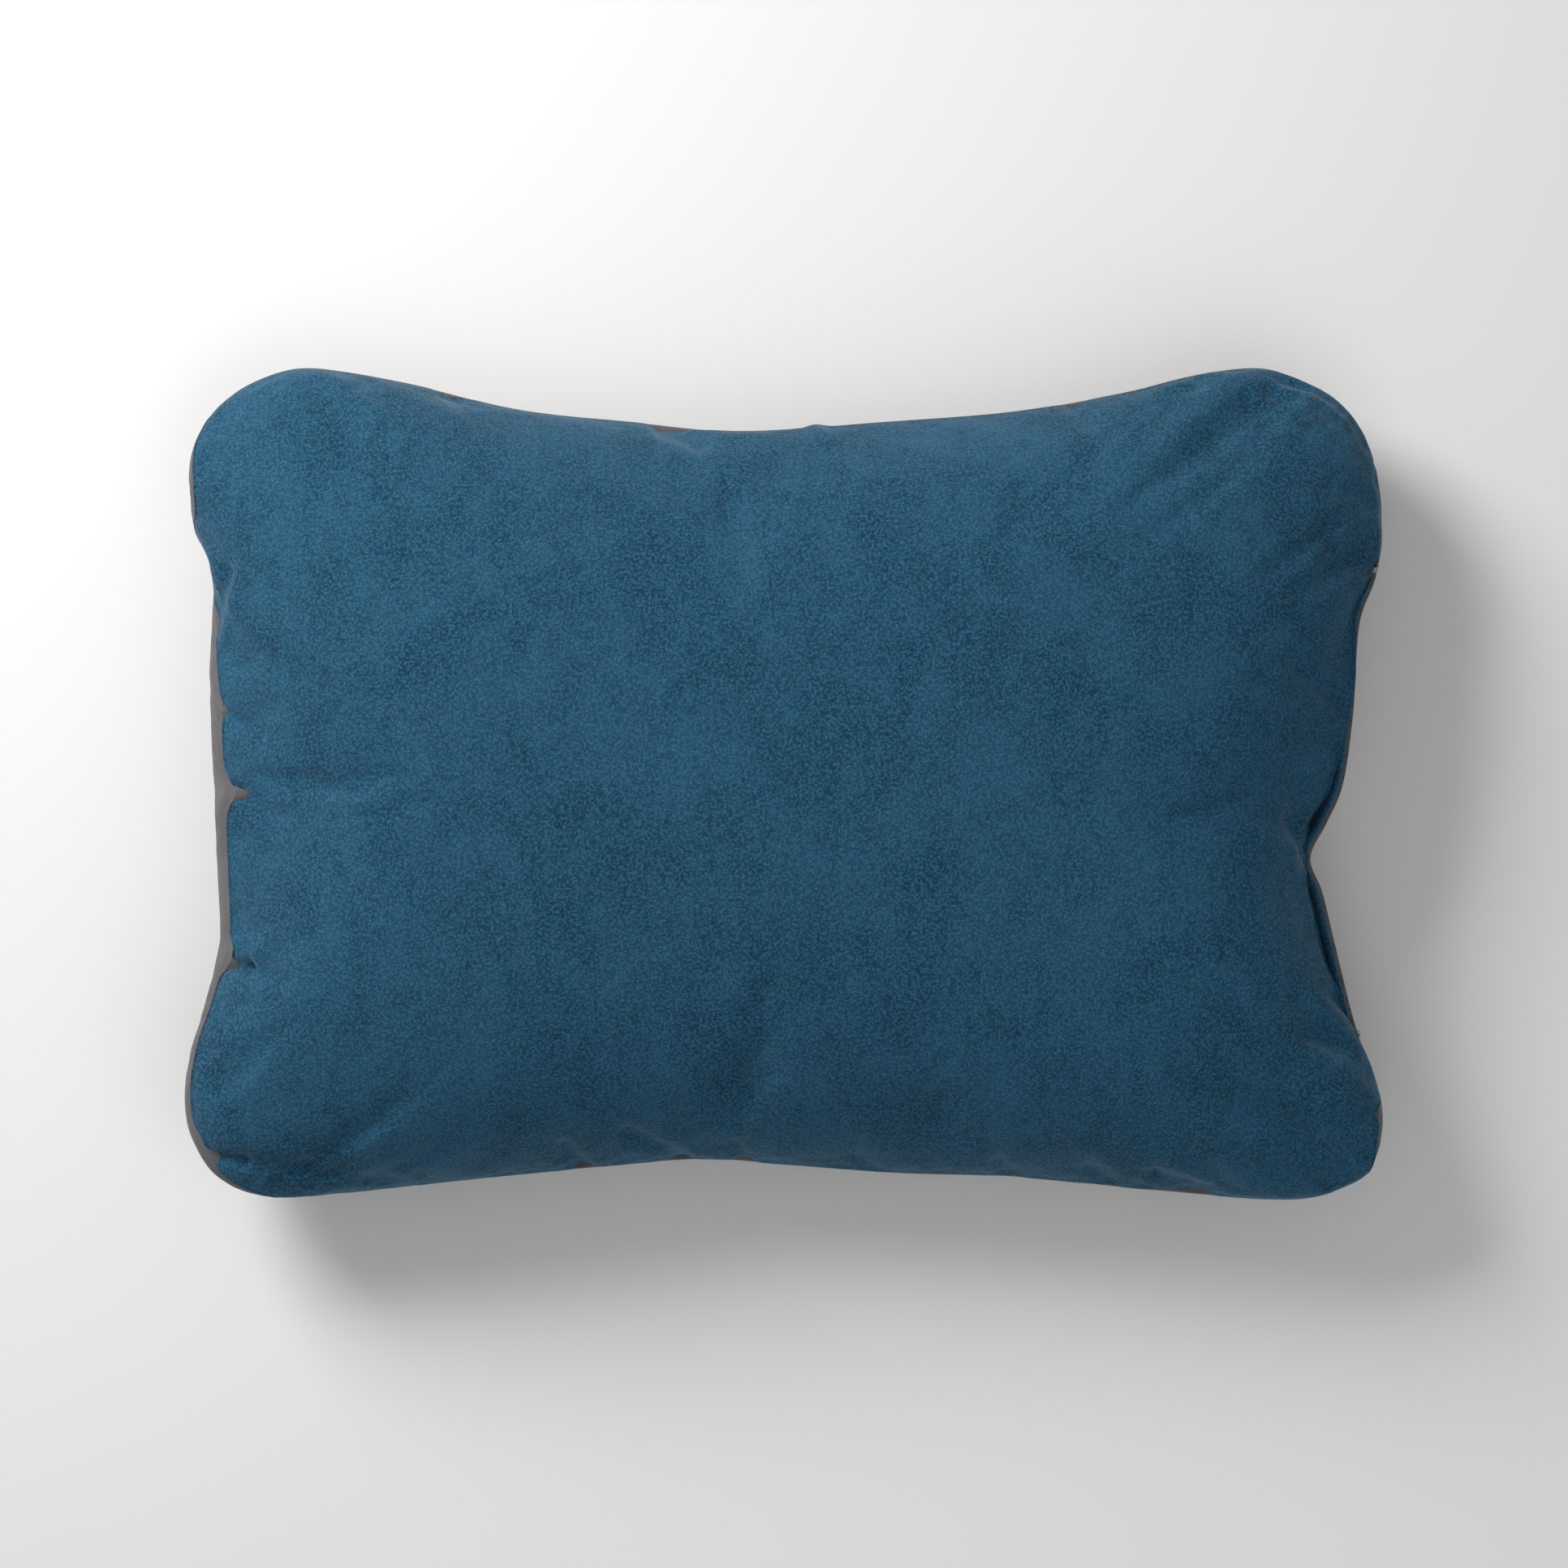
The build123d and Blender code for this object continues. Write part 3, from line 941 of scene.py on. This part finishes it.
def sewing_thread():
    """Pale polyester thread with its twist."""
    made, tree, shader = plain("pale_thread", Roughness=0.6, Sheen_Weight=0.2)
    place = add(tree, "ShaderNodeTexCoord").outputs["Object"]
    twist = add(tree, "ShaderNodeTexNoise", Vector=place, Scale=2600.0, Detail=1.0)
    share = ranged(tree, twist.outputs["Fac"], 0.35, 0.65)
    feed(tree, shader.inputs["Base Color"], blended(tree, share, THREAD_DARK, THREAD_LIGHT))
    bumped(tree, shader, twist.outputs["Fac"], 0.1 * MM, 0.5)
    return made


suede = brushed_suede()
gray = woven("gray_weave", GRAY_DARK, GRAY_LIGHT, 2300.0)
lining_cloth = woven("lining_weave", LINING_DARK, LINING_LIGHT, 1800.0)
pale_thread = sewing_thread()
for piece, cloth in ((face, suede), (facing_strip, suede), (back, gray), (lining, lining_cloth)):
    piece.data.materials.append(cloth)
for tack in tacks.values():
    tack.data.materials.append(pale_thread)

# ---------------------------------------------------------------- set on the frame

STANDS_FOR = (
    (face, "face_cloth",
     ("front_panel", "mouth_lip", "foam_core", "foam_over_pocket", "lip_fill")),
    (back, "back_cloth", ("back_panel", "foam_under_pocket")),
    (facing_strip, "face_cloth", ("mouth_facing",)),
    (lining, "lining", ("pocket_leaf_front", "pocket_leaf_back", "lip_lining")),
    (tacks["bar_tack_upper"], "thread", ("bar_tack_upper",)),
    (tacks["bar_tack_lower"], "thread", ("bar_tack_lower",)),
)


def hold_at_tacks(cloth):
    """The lip lifts only between its bar tacks: its share of the lift dies away towards them."""
    weights = cloth.data.attributes["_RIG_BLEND"]
    points = np.array([v.co for v in cloth.data.vertices])
    share = np.zeros(len(points), np.float32)
    weights.data.foreach_get("value", share)
    y = points[:, 1]
    share *= smooth((MOUTH_TOP - y) / LIFT_FADE) * smooth((y - MOUTH_BOTTOM) / LIFT_FADE)
    weights.data.foreach_set("value", share.astype(np.float32))


for piece, slot, nodes in STANDS_FOR:
    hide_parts(*nodes)
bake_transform(face, "pillow", "lip", start=(0.185, 0, 0.1), end=(0.262, 0, 0.1))
hold_at_tacks(face)
for piece in (back, facing_strip, lining, *tacks.values()):
    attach(piece, "pillow")

# ---------------------------------------------------------------- floor, lights and camera

VIEW_WIDTH = 763.9 * MM


def floor():
    """A plain pale floor, just under the pillow."""
    bpy.ops.mesh.primitive_plane_add(size=30, location=(0, 0, -0.6 * MM))
    ground = bpy.context.object
    ground.name = "floor"
    pale = plain("pale_floor", Base_Color=(0.86, 0.855, 0.85), Roughness=0.9)[0]
    ground.data.materials.append(pale)


def lamp(name, place, aim, size, power):
    """A soft square lamp that faces a point."""
    data = bpy.data.lights.new(name, "AREA")
    data.size, data.energy = size, power
    light = placed(name, data)
    light.location = place
    light.rotation_euler = (Vector(aim) - Vector(place)).to_track_quat("-Z", "Y").to_euler()


def studio(strength):
    """Even white light from all round."""
    made = bpy.data.worlds.new("studio")
    made.use_nodes = True
    background = made.node_tree.nodes["Background"]
    feed_all(made.node_tree, background, {"Color": (1.0, 1.0, 1.0), "Strength": strength})
    bpy.context.scene.world = made


def camera():
    """Straight above the face, with a long lens that takes in VIEW_WIDTH at the widest level."""
    data = bpy.data.cameras.new("camera")
    data.lens, data.sensor_width = 100, 36
    made = placed("camera", data)
    made.location = (0, 0, WIDEST_Z + VIEW_WIDTH * data.lens / data.sensor_width)
    bpy.context.scene.camera = made


floor()
lamp("key", (-1.10, 1.10, 1.05), (-0.05, 0.02, 0.05), 0.8, 35)
lamp("soft_fill", (0.5, -0.9, 1.7), (0, 0, 0), 1.8, 9)
studio(0.26)
camera()
bpy.context.scene.view_settings.view_transform = "Standard"
